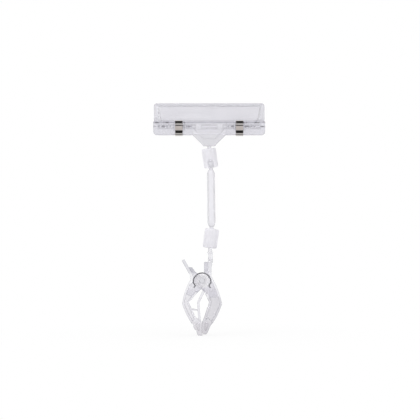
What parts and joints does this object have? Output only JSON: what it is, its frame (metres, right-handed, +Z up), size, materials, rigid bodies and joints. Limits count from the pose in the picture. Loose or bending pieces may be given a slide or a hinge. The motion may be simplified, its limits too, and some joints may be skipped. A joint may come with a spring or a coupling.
{
  "type": "sign clip holder",
  "caption": "Clear sprung card clip on a jointed arm of ball-and-socket sleeves and a rod, held up by a small toothed spring clamp.",
  "frame": {"origin": "in the middle of the clamp's closed teeth, where the clamp grips", "axes": "+Z up along the arm, +X to the right seen from the front, the card clip faces -Y"},
  "size_m": [0.0808, 0.0167, 0.1674],
  "materials": {
    "clear_plastic": "clear, moulded, glossy",
    "milky_plastic": "milky, satin",
    "strip_steel": "bright spring strip",
    "wire_steel": "dark spring wire"
  },
  "bodies": {
    "clamp_base": {"fixed_arm": "clear_plastic", "clamp_spring": "wire_steel"},
    "clamp_lever": {"moving_arm": "clear_plastic"},
    "lower_sleeve": {"lower_ball_sleeve": "milky_plastic"},
    "rod": {"link_rod": "clear_plastic"},
    "upper_sleeve": {"upper_ball_sleeve": "milky_plastic"},
    "clip_front": {"front_jaw": "clear_plastic", "left_jaw_spring": "strip_steel", "right_jaw_spring": "strip_steel"},
    "clip_rear": {"rear_jaw": "clear_plastic"}
  },
  "joints": [
    {"name": "lever_squeeze", "type": "hinge", "parent": "clamp_base", "child": "clamp_lever", "pos_m": [0, 0, 0.0343], "axis": [0, 1, 0], "range_deg": [0, 40], "stiffness_Nm_per_rad": 0.05, "springref_deg": -34.38, "deforming": ["clamp_spring"]},
    {"name": "stem_ball_lean", "type": "hinge", "parent": "clamp_base", "child": "lower_sleeve", "pos_m": [0.0058, 0, 0.0608], "axis": [0, 1, 0], "range_deg": [-29, 13]},
    {"name": "rod_foot_fold", "type": "hinge", "parent": "lower_sleeve", "child": "rod", "pos_m": [0.0069, 0, 0.06862], "axis": [-1, 0, 0], "range_deg": [-20, 85]},
    {"name": "rod_head_nod", "type": "hinge", "parent": "rod", "child": "upper_sleeve", "pos_m": [0.00629, 0, 0.11882], "axis": [1, 0, 0], "range_deg": [-20, 85]},
    {"name": "clip_swivel", "type": "hinge", "parent": "upper_sleeve", "child": "clip_front", "pos_m": [0.00513, 0, 0.12663], "axis": [0, 0, 1], "continuous": true},
    {"name": "jaw_squeeze", "type": "hinge", "parent": "clip_front", "child": "clip_rear", "pos_m": [0.00513, 0.00345, 0.14563], "axis": [-1, 0, 0], "range_deg": [0, 26], "stiffness_Nm_per_rad": 0.05, "springref_deg": -28.65, "deforming": ["left_jaw_spring", "right_jaw_spring"]}
  ]
}
